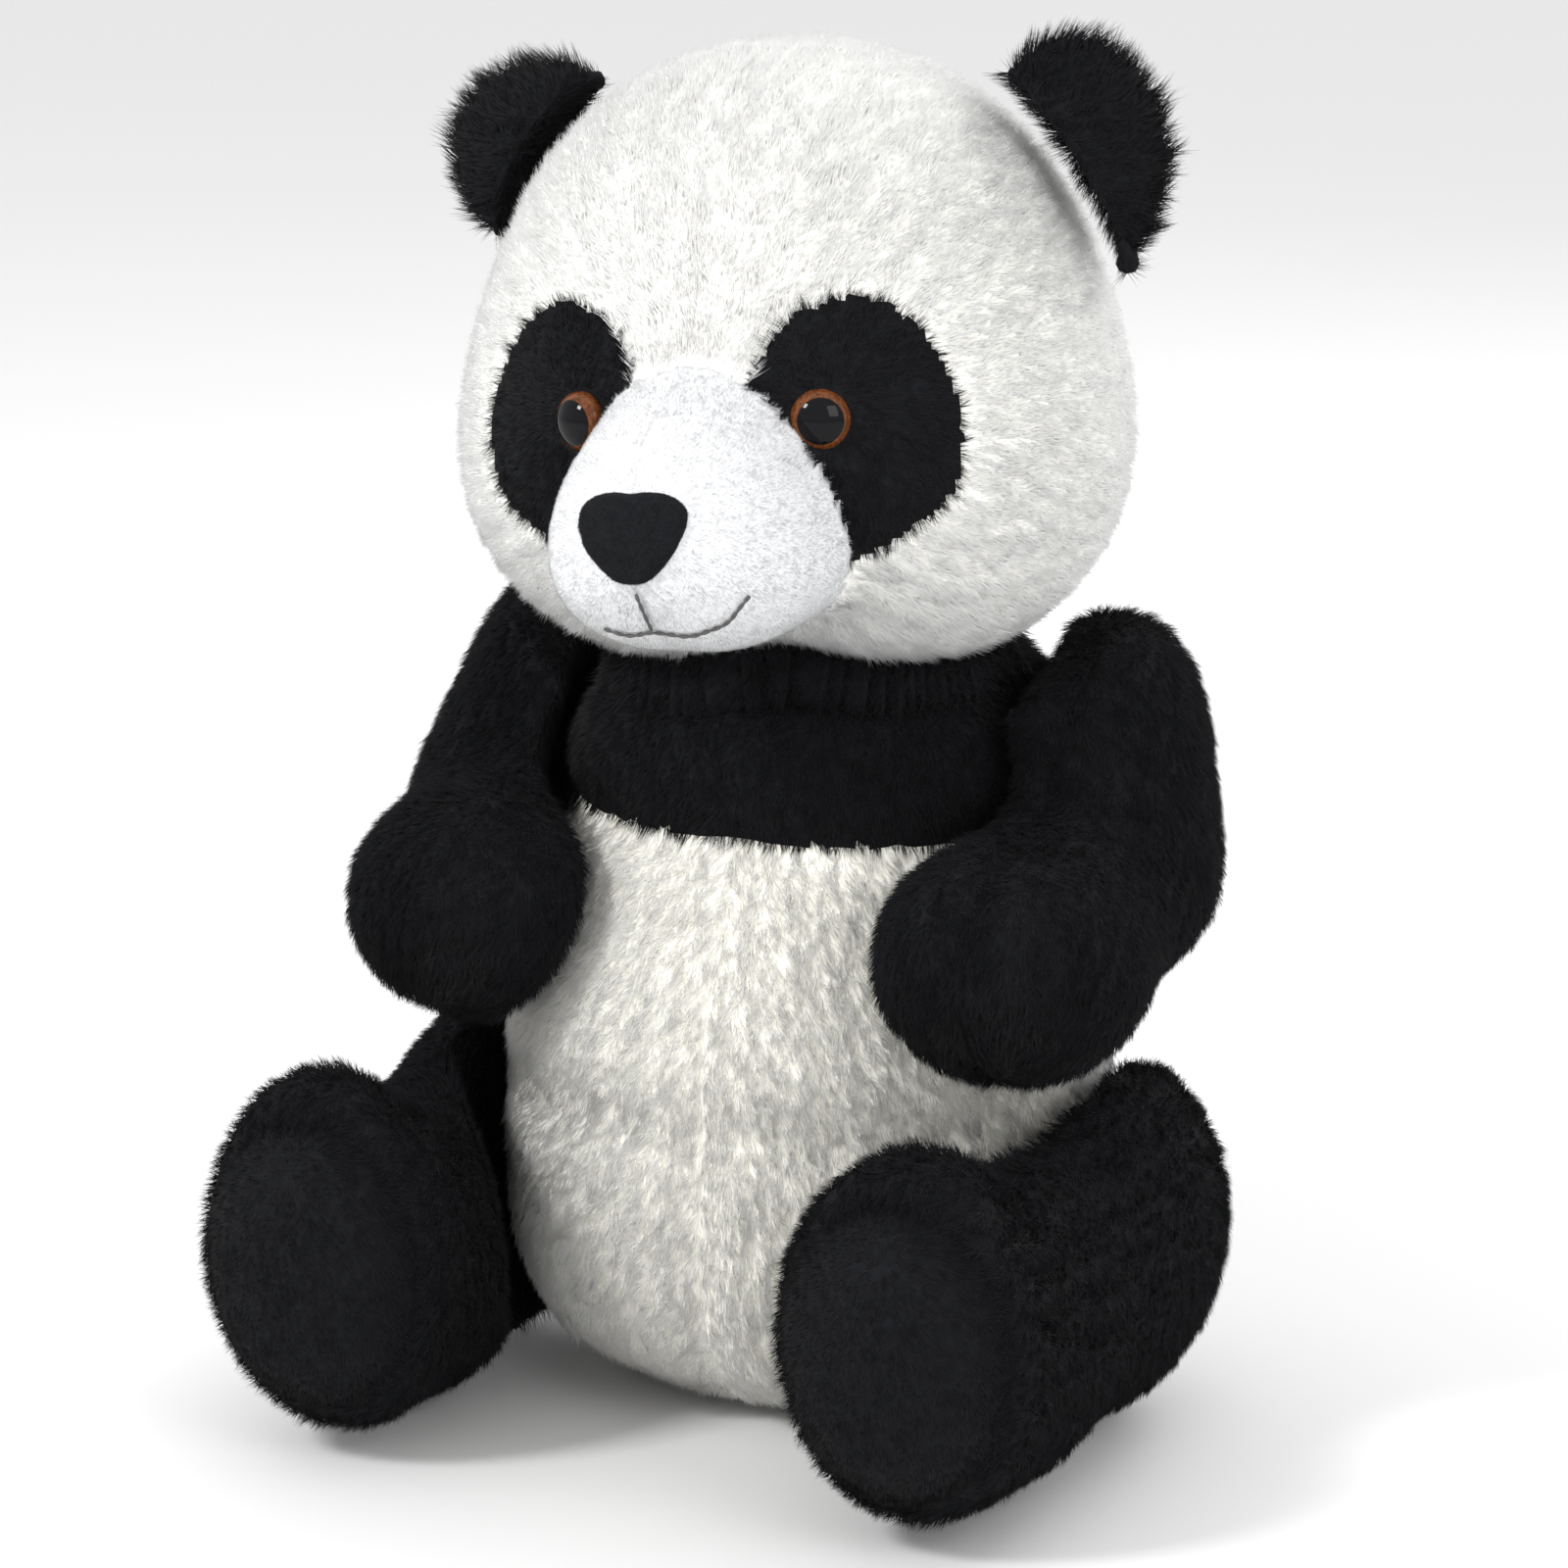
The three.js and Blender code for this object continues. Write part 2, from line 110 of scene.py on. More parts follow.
def add_grain(material, light, dark, scale, bump, stretch=(1, 1, 1)):
    """Cloth backing: fine noise in the colour and in the surface, in object coordinates."""
    tree = material.node_tree
    shader = tree.nodes["Principled BSDF"]
    place = tree.nodes.new("ShaderNodeTexCoord")
    mapping = tree.nodes.new("ShaderNodeMapping")
    mapping.inputs["Scale"].default_value = stretch
    noise = tree.nodes.new("ShaderNodeTexNoise")
    noise.inputs["Scale"].default_value = scale
    noise.inputs["Detail"].default_value = 6
    ramp = tree.nodes.new("ShaderNodeValToRGB")
    ramp.color_ramp.elements[0].position = 0.3
    ramp.color_ramp.elements[0].color = (*dark, 1)
    ramp.color_ramp.elements[1].position = 0.7
    ramp.color_ramp.elements[1].color = (*light, 1)
    relief = tree.nodes.new("ShaderNodeBump")
    relief.inputs["Strength"].default_value = 0.6
    relief.inputs["Distance"].default_value = bump
    tree.links.new(place.outputs["Object"], mapping.inputs["Vector"])
    tree.links.new(mapping.outputs["Vector"], noise.inputs["Vector"])
    tree.links.new(noise.outputs["Fac"], ramp.inputs["Fac"])
    tree.links.new(ramp.outputs["Color"], shader.inputs["Base Color"])
    tree.links.new(noise.outputs["Fac"], relief.inputs["Height"])
    tree.links.new(relief.outputs["Normal"], shader.inputs["Normal"])
    return material


WHITE = (0.95, 0.945, 0.925)
CLOUD = (0.80, 0.805, 0.815)
MIST = (0.72, 0.725, 0.74)
IVORY = (0.90, 0.885, 0.82)
CREAM = (0.90, 0.875, 0.78)
BLACK = (0.0035, 0.0036, 0.0045)
SLATE = (0.0075, 0.008, 0.0105)
AMBER = (0.20, 0.062, 0.018)
UMBER = (0.045, 0.014, 0.006)
GREY = (0.16, 0.155, 0.15)

BACKING = {
    "white": add_grain(principled("white_backing", WHITE, 0.95), WHITE, IVORY, 420, 0.4 * MM),
    "belly": add_grain(principled("belly_backing", IVORY, 0.95), IVORY, CREAM, 420, 0.4 * MM),
    "black": add_grain(principled("black_backing", BLACK, 0.95, specular=0.2), SLATE, BLACK, 420, 0.4 * MM),
    "muzzle": add_grain(principled("muzzle_backing", CLOUD, 0.9), CLOUD, MIST, 900, 0.25 * MM),
    "nose": add_grain(principled("nose_backing", BLACK, 0.9, specular=0.2), SLATE, BLACK, 900, 0.25 * MM),
}
STUFFING = add_grain(principled("polyester_stuffing", WHITE, 1.0), WHITE, IVORY, 160, 1.2 * MM,
                     stretch=(1, 1, 4))
THREAD = add_grain(principled("mouth_thread", GREY, 0.7), GREY, SLATE, 2600, 0.1 * MM, stretch=(1, 4, 1))
WASHER = add_grain(principled("washer_plastic", IVORY, 0.45), WHITE, IVORY, 260, 0.05 * MM)
PUPIL = principled("eye_pupil", BLACK, 0.06, coat=0.12, specular=0.1)
IRIS = add_grain(principled("eye_iris", AMBER, 0.12, coat=0.3, specular=0.1), AMBER, UMBER, 900, 0.02 * MM)

# Three tints of each pile, mixed strand by strand: deep, bright and soft
PILE_TINTS = {
    "white": [(0.965, 0.96, 0.94), (0.99, 0.989, 0.985), (0.982, 0.98, 0.972)],
    "belly": [(0.96, 0.94, 0.87), (0.99, 0.987, 0.965), (0.98, 0.97, 0.935)],
    "muzzle": [(0.72, 0.725, 0.74), (0.81, 0.815, 0.825), (0.77, 0.775, 0.785)],
    "black": [BLACK, SLATE, (0.0055, 0.0057, 0.007)],
}
DEEP_SHARE = 0.2          # of the strands; the rest are half bright and half soft


def pile_materials(kind):
    """The deep, bright and soft material of one kind of pile. Black pile shines less."""
    sheen, specular = (0.03, 0.2) if kind == "black" else (0.2, 0.4)
    return [principled(f"{kind}_pile_{word}", tint, 0.85, sheen=sheen, specular=specular)
            for word, tint in zip(("deep", "bright", "soft"), PILE_TINTS[kind])]


PILE_MATERIALS = {kind: pile_materials(kind) for kind in PILE_TINTS}


# Meshes as arrays


def corners_of(mesh):
    points = np.empty(len(mesh.vertices) * 3)
    mesh.vertices.foreach_get("co", points)
    return points.reshape(-1, 3)


def new_object(name, points, faces):
    mesh = bpy.data.meshes.new(name)
    mesh.from_pydata([tuple(p) for p in points], [], [tuple(int(i) for i in f) for f in faces])
    mesh.validate()
    thing = bpy.data.objects.new(name, mesh)
    bpy.context.scene.collection.objects.link(thing)
    return thing


def smooth_shaded(thing):
    thing.data.polygons.foreach_set("use_smooth", [True] * len(thing.data.polygons))
    return thing


def applied(thing):
    """The mesh with its modifiers worked in, on the same object."""
    graph = bpy.context.evaluated_depsgraph_get()
    graph.update()
    mesh = bpy.data.meshes.new_from_object(thing.evaluated_get(graph))
    thing.modifiers.clear()
    old = thing.data
    thing.data = mesh
    bpy.data.meshes.remove(old)
    return thing


def unit(vectors):
    return vectors / np.maximum(np.linalg.norm(vectors, axis=-1, keepdims=True), 1e-12)


class Surface:
    """A quad or triangle mesh as arrays, with its normals."""

    def __init__(self, mesh):
        self.points = corners_of(mesh)
        self.faces = [tuple(p.vertices) for p in mesh.polygons]
        self.mesh = mesh
        edges = np.empty(len(mesh.edges) * 2, np.int64)
        mesh.edges.foreach_get("vertices", edges)
        self.edges = edges.reshape(-1, 2)
        self.degree = np.bincount(self.edges.ravel(), minlength=len(self.points))[:, None]

    def spread(self, values, rounds, share=0.5):
        """Evens out a value per point with its neighbours'."""
        a, b = self.edges.T
        for _ in range(rounds):
            total = np.zeros_like(values)
            np.add.at(total, a, values[b])
            np.add.at(total, b, values[a])
            values = values + share * (total / np.maximum(self.degree, 1) - values)
        return values

    def write(self):
        self.mesh.vertices.foreach_set("co", self.points.ravel())
        self.mesh.update()

    def normals(self):
        self.write()
        found = np.empty(len(self.points) * 3)
        self.mesh.vertex_normals.foreach_get("vector", found)
        return found.reshape(-1, 3)


def largest_island(mesh):
    """Drops all but the largest connected part."""
    labels = np.arange(len(mesh.vertices))
    edges = np.empty(len(mesh.edges) * 2, np.int64)
    mesh.edges.foreach_get("vertices", edges)
    a, b = edges.reshape(-1, 2).T
    while True:
        low = np.minimum(labels[a], labels[b])
        after = labels.copy()
        np.minimum.at(after, a, low)
        np.minimum.at(after, b, low)
        after = after[after]
        if (after == labels).all():
            break
        labels = after
    keep = np.bincount(labels).argmax()
    work = bmesh.new()
    work.from_mesh(mesh)
    work.verts.ensure_lookup_table()
    bmesh.ops.delete(work, geom=[v for v in work.verts if labels[v.index] != keep], context="VERTS")
    work.to_mesh(mesh)
    work.free()


# Stuffed forms: one closed surface over a body's panels, later cut along the panels' seams

# How far behind the CAD panel the cloth of each kind lies, to leave room for its pile
INSET = {
    "white": 4.6 * MM,
    "belly": 4.2 * MM,
    "black": 4.2 * MM,
    "patch": 4.2 * MM,
    "muzzle": 0.9 * MM,
    "sole": 2.6 * MM,
    "nose": 0.5 * MM,
}


def groove(away, depth, width):
    """The depth of a soft groove at each distance from its middle."""
    return depth * np.exp(-((away / width) ** 2))


def belly_fold(points):
    """A soft fold across the belly, low at the front."""
    front = np.clip(-points[:, 1] / (60 * MM), 0, 1)
    return groove(points[:, 2] - 104 * MM, 3.6 * MM, 9 * MM) * front


def nose_seam(points):
    return groove(on_head(points)[:, 0], 0.7 * MM, 1.3 * MM)


class Form:
    """A body's stuffed form.

    seam: depth and width of its seams, in millimetres.
    tuft: how much longer the pile is beside them, as a share, and how far that reaches in millimetres.
    """

    def __init__(self, name, body, cloth, filling, voxel=5.0, smooth=14, seam=(2.2, 5.0), tuft=(0, 7.0),
                 fold=None):
        self.name = name
        self.body = body
        self.cloth = cloth
        self.panels = list(cloth)
        self.filling = filling
        self.voxel = voxel * MM
        self.seam = (seam[0] * MM, seam[1] * MM)
        self.tuft = tuft[0]
        self.rim = tuft[1] * MM
        self.fold = fold
        self.thing = self.wrap(self.panels + filling)
        self.surface = Surface(self.thing.data)
        self.surface.points = self.surface.spread(self.surface.points, smooth)
        self.tree, self.owner_of = self.panel_tree()
        self.shape()

    def wrap(self, nodes):
        points = []
        faces = []
        for node in nodes:
            mesh = NODES[node].data
            faces += [tuple(len(points) + i for i in p.vertices) for p in mesh.polygons]
            points += [tuple(v.co) for v in mesh.vertices]
        thing = new_object("form_" + self.name, points, faces)
        remesh = thing.modifiers.new("remesh", "REMESH")
        remesh.mode = "VOXEL"
        remesh.voxel_size = self.voxel
        applied(thing)
        largest_island(thing.data)
        return thing

    def panel_tree(self):
        points = []
        faces = []
        owners = []
        for number, node in enumerate(self.panels):
            mesh = NODES[node].data
            faces += [tuple(len(points) + i for i in p.vertices) for p in mesh.polygons]
            owners += [number] * len(mesh.polygons)
            points += [tuple(v.co) for v in mesh.vertices]
        return BVHTree.FromPolygons(points, faces), owners

    def owners(self, places):
        return np.array([self.owner_of[self.tree.find_nearest(Vector(p))[2]] for p in places])

    def shape(self):
        """Insets the form by the pile's height, lets the cloth swell between its seams and draws those in."""
        surface = self.surface
        owner = self.owners(surface.points)
        inset = np.array([INSET[self.cloth[self.panels[i]]] for i in owner])[:, None]
        surface.points = surface.points - surface.normals() * surface.spread(inset, 3)
        a, b = surface.edges.T
        seam = np.zeros(len(surface.points), bool)
        across = owner[a] != owner[b]
        seam[a[across]] = True
        seam[b[across]] = True
        if seam.any():
            swell(self.thing, surface, seam)
        rim = KDTree(max(int(seam.sum()), 1))
        for count, i in enumerate(np.flatnonzero(seam)):
            rim.insert(Vector(surface.points[i]), count)
        rim.balance()
        depth = np.zeros(len(surface.points))
        if seam.any():
            away = np.array([rim.find(Vector(p))[2] for p in surface.points])
            depth += groove(away, *self.seam)
        if self.fold:
            depth += self.fold(surface.points)
        surface.points = surface.points - surface.normals() * surface.spread(depth[:, None], 2)
        surface.write()
        self.filled = (self.within(surface), surface.faces)
        self.thing.modifiers.new("fine", "SUBSURF").levels = 1
        self.thing.modifiers["fine"].render_levels = 1
        applied(self.thing)
        self.surface = Surface(self.thing.data)
        middles = np.array([self.surface.points[list(f)].mean(0) for f in self.surface.faces])
        self.face_owner = self.owners(middles)
        if seam.any():
            away = np.array([rim.find(Vector(p))[2] for p in self.surface.points])
            self.beside_seam = np.exp(-((away / self.rim) ** 2))
        else:
            self.beside_seam = np.zeros(len(self.surface.points))

    def within(self, surface):
        """The stuffing's points: the form rounded off, and everywhere a little way behind the cloth."""
        cloth = surface.points.copy()
        tree = BVHTree.FromPolygons([tuple(p) for p in cloth], surface.faces)
        surface.points = surface.spread(cloth, 20)
        core = surface.points - surface.normals() * FILLING_GAP
        surface.points = cloth
        surface.write()
        behind = CLOTH_THICK + FILLING_GAP
        for i, point in enumerate(core):
            place, normal = tree.find_nearest(Vector(point))[:2]
            if (place - Vector(point)).dot(normal) < behind:
                core[i] = place - normal * behind
        return surface.spread(core, 2)


def swell(thing, surface, seam):
    """Blender's Cloth with pressure, held along the seams, and capped."""
    surface.write()
    group = thing.vertex_groups.new(name="seam")
    group.add([int(i) for i in np.flatnonzero(seam)], 1.0, "REPLACE")
    cloth = thing.modifiers.new("cloth", "CLOTH")
    cloth.settings.quality = 5
    cloth.settings.use_pressure = True
    cloth.settings.uniform_pressure_force = PRESSURE
    cloth.settings.effector_weights.gravity = 0
    cloth.settings.vertex_group_mass = "seam"
    cloth.point_cache.frame_start = 1
    cloth.point_cache.frame_end = SWELL_FRAMES
    for number in range(1, SWELL_FRAMES + 1):
        bpy.context.scene.frame_set(number)
    graph = bpy.context.evaluated_depsgraph_get()
    swollen = corners_of(thing.evaluated_get(graph).data)
    thing.modifiers.clear()
    bpy.context.scene.frame_set(1)
    move = swollen - surface.points
    far = np.linalg.norm(move, axis=1, keepdims=True)
    surface.points = surface.points + move * np.minimum(1, PUFF_CAP / np.maximum(far, 1e-9))


def open_edges(faces):
    """The directed edges that only one of the faces has."""
    edges = {edge for f in faces for edge in zip(f, f[1:] + f[:1])}
    return [(i, j) for i, j in sorted(edges) if (j, i) not in edges]


def closed_sheet(name, upper, lower, faces):
    """A closed piece between two layers of the same faces, with a rim."""
    used = sorted({i for f in faces for i in f})
    renumber = {old: new for new, old in enumerate(used)}
    count = len(used)
    top = [tuple(renumber[i] for i in f) for f in faces]
    sheet = top + [tuple(i + count for i in reversed(f)) for f in top]
    rim = [(j, i, i + count, j + count) for i, j in open_edges(top)]
    return smooth_shaded(new_object(name, np.vstack([upper[used], lower[used]]), sheet + rim))


def shell(name, surface, faces):
    """A closed piece of cloth from some of a form's faces."""
    return closed_sheet(name, surface.points, surface.points - surface.normals() * CLOTH_THICK, faces)


# Pile


WAVES = 14


def waves(places, scale, seed, channels):
    """Smooth noise with about unit spread, as a sum of plane waves."""
    draw = np.random.default_rng(seed)
    total = np.zeros((len(places), channels))
    for _ in range(WAVES):
        heading = unit(draw.normal(size=3)) / scale * draw.uniform(0.6, 1.6)
        shift = draw.uniform(0, 2 * math.pi, channels)
        total += np.sin((places @ heading)[:, None] * 2 * math.pi + shift)
    return total / math.sqrt(WAVES / 2)


def strands(name, look, roots, normals, heading, length, width, droop):
    """Closed tapered strands with three sides and a point."""
    count = len(roots)
    rise = unit(heading)
    lie = unit(heading - normals * droop * (heading * normals).sum(1, keepdims=True))
    side = unit(np.cross(rise, normals) + 1e-6)
    up = np.cross(side, rise)
    start = roots - normals * 0.4 * MM
    tip = roots + (rise + lie) * 0.5 * length[:, None]
    turns = [math.radians(angle) for angle in (90, 210, 330)]
    ring = [start + (side * math.cos(t) + up * math.sin(t)) * width[:, None] for t in turns]
    points = np.stack(ring + [tip], 1).reshape(-1, 3)
    pattern = np.array([0, 1, 2, 1, 0, 3, 2, 1, 3, 0, 2, 3])
    loops = ((np.arange(count) * 4)[:, None] + pattern).ravel()
    mesh = bpy.data.meshes.new(name)
    mesh.vertices.add(len(points))
    mesh.vertices.foreach_set("co", points.astype(np.float32).ravel())
    mesh.loops.add(len(loops))
    mesh.loops.foreach_set("vertex_index", loops.astype(np.int32))
    mesh.polygons.add(count * 4)
    mesh.polygons.foreach_set("loop_start", np.arange(0, len(loops), 3, dtype=np.int32))
    draw = np.random.default_rng(count)
    bright = np.where(draw.random(count) < 0.5, 1, 2)
    tint = np.where(draw.random(count) < DEEP_SHARE, 0, bright).astype(np.int32)
    mesh.polygons.foreach_set("material_index", np.repeat(tint, 4))
    mesh.polygons.foreach_set("use_smooth", np.ones(count * 4, bool))
    mesh.update(calc_edges=True)
    thing = bpy.data.objects.new(name, mesh)
    bpy.context.scene.collection.objects.link(thing)
    for material in PILE_MATERIALS[look]:
        mesh.materials.append(material)
    return thing


class Pile:
    """How one kind of plush grows. Lengths in millimetres, density in strands per square millimetre."""

    def __init__(self, length, density, width, lift, droop=0.8, clump=0.35, jitter=0.2, look="white"):
        self.length = length * MM
        self.density = density
        self.width = width * MM
        self.lift = lift
        self.droop = droop
        self.clump = clump
        self.jitter = jitter
        self.look = look


PILES = {
    "white": Pile(7.6, 1.3, 0.2, 0.7, clump=0.24, jitter=0.1, look="white"),
    "belly": Pile(7.0, 1.35, 0.2, 0.75, clump=0.3, jitter=0.14, look="belly"),
    "black": Pile(6.4, 1.3, 0.18, 0.95, clump=0.36, jitter=0.16, look="black"),
    "patch": Pile(4.8, 1.6, 0.16, 0.9, clump=0.3, jitter=0.14, look="black"),
    "sole": Pile(3.3, 1.6, 0.15, 1.1, clump=0.25, jitter=0.12, look="black"),
    "muzzle": Pile(1.7, 2.6, 0.14, 0.9, clump=0.15, jitter=0.12, look="muzzle"),
    "nose": Pile(0.9, 5.0, 0.09, 1.2, clump=0.1, jitter=0.1, look="black"),
}
LOCK = 11 * MM            # across a lock of pile
WISP = 4 * MM
UNEVEN = 6 * MM           # across a patch of longer or shorter pile
MOST_STRANDS = 46000      # in one piece of pile
SHORTEST = 0.25           # of the pile's length; a strand with less room than that isn't planted
FLOOR_ROOM = 0.4 * MM
FAR = 1.0                 # metres, where nothing is in a strand's way
FARTHEST_LOOK = 12 * MM


def above_floor(roots, heading, length, droop):
    """The length that keeps a strand's tip off the floor."""
    steepest = unit(heading)[:, 2] - 0.5 * droop - 0.1
    room = (roots[:, 2] - FLOOR_ROOM) / np.maximum(-steepest, 1e-6)
    return np.where(steepest < 0, np.minimum(length, np.maximum(room, 0)), length)


def scatter(surface, faces, density, draw):
    """Random places, even by area: the corners of the triangle that each lies in, and their shares."""
    triangles = np.array([(f[0], f[k], f[k + 1]) for f in faces for k in range(1, len(f) - 1)])
    a, b, c = (surface.points[triangles[:, k]] for k in range(3))
    area = np.linalg.norm(np.cross(b - a, c - a), axis=1) / 2
    count = int(area.sum() / MM ** 2 * density)
    pick = draw.choice(len(triangles), count, p=area / area.sum())
    s, t = draw.random(count), draw.random(count)
    s, t = np.where(s + t > 1, 1 - s, s), np.where(s + t > 1, 1 - t, t)
    return triangles[pick], np.stack([1 - s - t, s, t], 1)[:, :, None]


def grow(name, form, panel_number, pile, flow, reach, seed):
    """Plants one panel's pile on its part of the form, in pieces of at most MOST_STRANDS."""
    surface = form.surface
    faces = [f for f, owner in zip(surface.faces, form.face_owner) if owner == panel_number]
    draw = np.random.default_rng(seed)
    corners, share = scatter(surface, faces, pile.density, draw)
    count = len(corners)
    roots = (surface.points[corners] * share).sum(1)
    normals = unit((surface.normals()[corners] * share).sum(1))
    room = (reach[corners] * share[:, :, 0]).sum(1)
    rim = (form.beside_seam[corners] * share[:, :, 0]).sum(1)
    comb = flow(roots)
    comb = unit(comb - normals * (comb * normals).sum(1, keepdims=True))
    lean = comb + pile.clump * waves(roots, LOCK, seed + 1, 3) * 0.6
    lean += pile.clump * waves(roots, WISP, seed + 2, 3) * 0.6 + pile.jitter * draw.normal(size=(count, 3))
    lift = pile.lift * (1 + 1.4 * form.tuft * rim[:, None])
    heading = unit(lean - normals * (lean * normals).sum(1, keepdims=True) * 0.7) + normals * lift
    length = pile.length * (1 + 0.15 * waves(roots, UNEVEN, seed + 3, 1)[:, 0])
    length *= draw.uniform(0.75, 1.15, count) * (1 + form.tuft * rim)
    length = above_floor(roots, heading, np.minimum(length, room), pile.droop)
    stay = (length > pile.length * SHORTEST) & clear_of_eyes(roots)
    width = pile.width * draw.uniform(0.7, 1.2, count)
    batches = np.array_split(np.flatnonzero(stay), stay.sum() // MOST_STRANDS + 1)
    return [strands(f"{name}_{number}", pile.look, roots[batch], normals[batch], heading[batch],
                    length[batch], width[batch], pile.droop)
            for number, batch in enumerate(batches, 1)]


def clear_of_eyes(places):
    """Which places lie outside both eyes."""
    clear = np.ones(len(places), bool)
    for _, side in SIDES:
        eye = np.array(head_point(side * EYE[0], EYE[1], EYE[2]))
        clear &= np.linalg.norm(places - eye, axis=1) > EYE_RADIUS * 1.02
    return clear


def free_reach(form, others):
    """For each point, how long a strand has room before it meets another form."""
    normals = form.surface.normals()
    room = np.full(len(form.surface.points), FAR)
    for i, (point, normal) in enumerate(zip(form.surface.points, normals)):
        start = Vector(point) + Vector(normal) * 0.2 * MM
        for tree in others:
            hit = tree.ray_cast(start, Vector(normal), FARTHEST_LOOK)
            if hit[0] is not None:
                room[i] = min(room[i], hit[3] * 1.1)
    return room


def away_from(place, pull=(0, 0, 0)):
    """A flow for the pile that points away from a place, with a constant pull."""
    centre = np.array(place)
    drift = np.array(pull)
    return lambda places: unit(places - centre) + drift


# The bodies' forms, with each panel's kind of cloth

HEAD_PANELS = {"head_back": "white"}
for word, _ in SIDES:
    HEAD_PANELS["face_" + word] = "white"
    HEAD_PANELS["eye_patch_" + word] = "patch"
    HEAD_PANELS["muzzle_" + word] = "muzzle"
TORSO_PANELS = {"chest_band": "black", "back_yoke": "black", "belly_left": "belly", "belly_right": "belly",
                "back_left": "white", "back_right": "white", "seat_panel": "white"}

FORMS = {
    "head": Form("head", "head", HEAD_PANELS, ["head_stuffing", "nose"], seam=(1.0, 5.0)),
    "nose": Form("nose", "head", {"nose": "nose"}, [], voxel=1.8, smooth=5, fold=nose_seam),
    "neck": Form("neck", "neck", {"neck_stuffing": "black"}, [], smooth=2),
    "torso": Form("torso", "torso", TORSO_PANELS, ["torso_stuffing"], seam=(5.0, 6.5), tuft=(-0.55, 4.0),
                  fold=belly_fold),
}
for word, _ in SIDES:
    arm = {f"arm_outer_{word}": "black", f"arm_inner_{word}": "black"}
    leg = {f"leg_outer_{word}": "black", f"leg_inner_{word}": "black", f"foot_sole_{word}": "sole"}
    ear = {f"ear_front_{word}": "black", f"ear_back_{word}": "black"}
    FORMS[f"arm_{word}"] = Form(f"arm_{word}", f"arm_{word}", arm, [f"arm_stuffing_{word}"], tuft=(0.25, 7.0))
    FORMS[f"leg_{word}"] = Form(f"leg_{word}", f"leg_{word}", leg, [f"leg_stuffing_{word}"], tuft=(0.3, 7.0))
    FORMS[f"ear_{word}"] = Form(f"ear_{word}", f"ear_{word}", ear, [], smooth=6, tuft=(0.5, 7.0))

# The backing of the kinds of cloth that share another kind's backing
BACKING_OF = {"sole": "black", "patch": "black"}


def flow_for(panel):
    """The way that a panel's pile is combed."""
    side = -1 if panel.endswith("right") else 1
    if panel.startswith(("face", "head")):
        return away_from(head_point(0, -110, -35), (0, 0, -0.25))
    if panel.startswith("eye_patch"):
        return away_from(head_point(side * EYE[0], EYE[1] + 10, EYE[2]), (0, 0, -0.2))
    if panel.startswith("muzzle"):
        return away_from(head_point(0, -140, -30))
    if panel == "nose":
        return away_from(head_point(0, -130, NOSE_HEIGHT + 10), (0, 0, -0.4))
    if panel.startswith("ear"):
        return away_from(head_point(side * 66, 12, 44))
    if panel.startswith("arm"):
        return away_from(Vector((side * 78, 60, 268)) * MM, (0, 0, -0.2))
    if panel.startswith("foot_sole"):
        return away_from(Vector((side * 100, -140, 84)) * MM, (0, 0, -0.4))
    if panel.startswith("leg"):
        return away_from(Vector((side * 95, 50, 75)) * MM)
    if panel.startswith("belly"):
        return away_from((0, 0.01, 0.33), (side * 0.5, 0, -0.6))
    return away_from((0, 0.01, 0.33), (0, 0, -0.6))


def build_panel(form, number, panel, reach, seed):
    """One panel's cloth and pile."""
    kind = form.cloth[panel]
    faces = [f for f, owner in zip(form.surface.faces, form.face_owner) if owner == number]
    skin = shell("skin_" + panel, form.surface, faces)
    skin.data.materials.append(BACKING[BACKING_OF.get(kind, kind)])
    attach(skin, form.body)
    if form.name == "neck":
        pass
    else:
        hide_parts(panel)
    for pile in grow("pile_" + panel, form, number, PILES[kind], flow_for(panel), reach, seed):
        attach(pile, form.body)


def build_filling(form):
    """The stuffing that the skins hold, just behind the cloth."""
    nodes = [node for node in form.filling if "_stuffing" in node]
    if form.name == "neck":
        nodes = form.panels
    if not nodes:
        return
    filling = smooth_shaded(new_object("filling_" + form.name, *form.filled))
    filling.data.materials.append(STUFFING)
    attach(filling, form.body)
    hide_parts(*nodes)


def build_plush():
    trees = {name: BVHTree.FromPolygons([tuple(p) for p in form.surface.points], form.surface.faces)
             for name, form in FORMS.items()}
    seed = 10
    for name, form in FORMS.items():
        others = [trees[other] for other in FORMS if FORMS[other].body != form.body]
        reach = free_reach(form, others)
        for number, panel in enumerate(form.panels):
            seed += 10
            build_panel(form, number, panel, reach, seed)
        build_filling(form)
    build_collar(FORMS["head"], trees["torso"])
    build_mouth(trees["head"])
    for form in FORMS.values():
        bpy.data.objects.remove(form.thing)


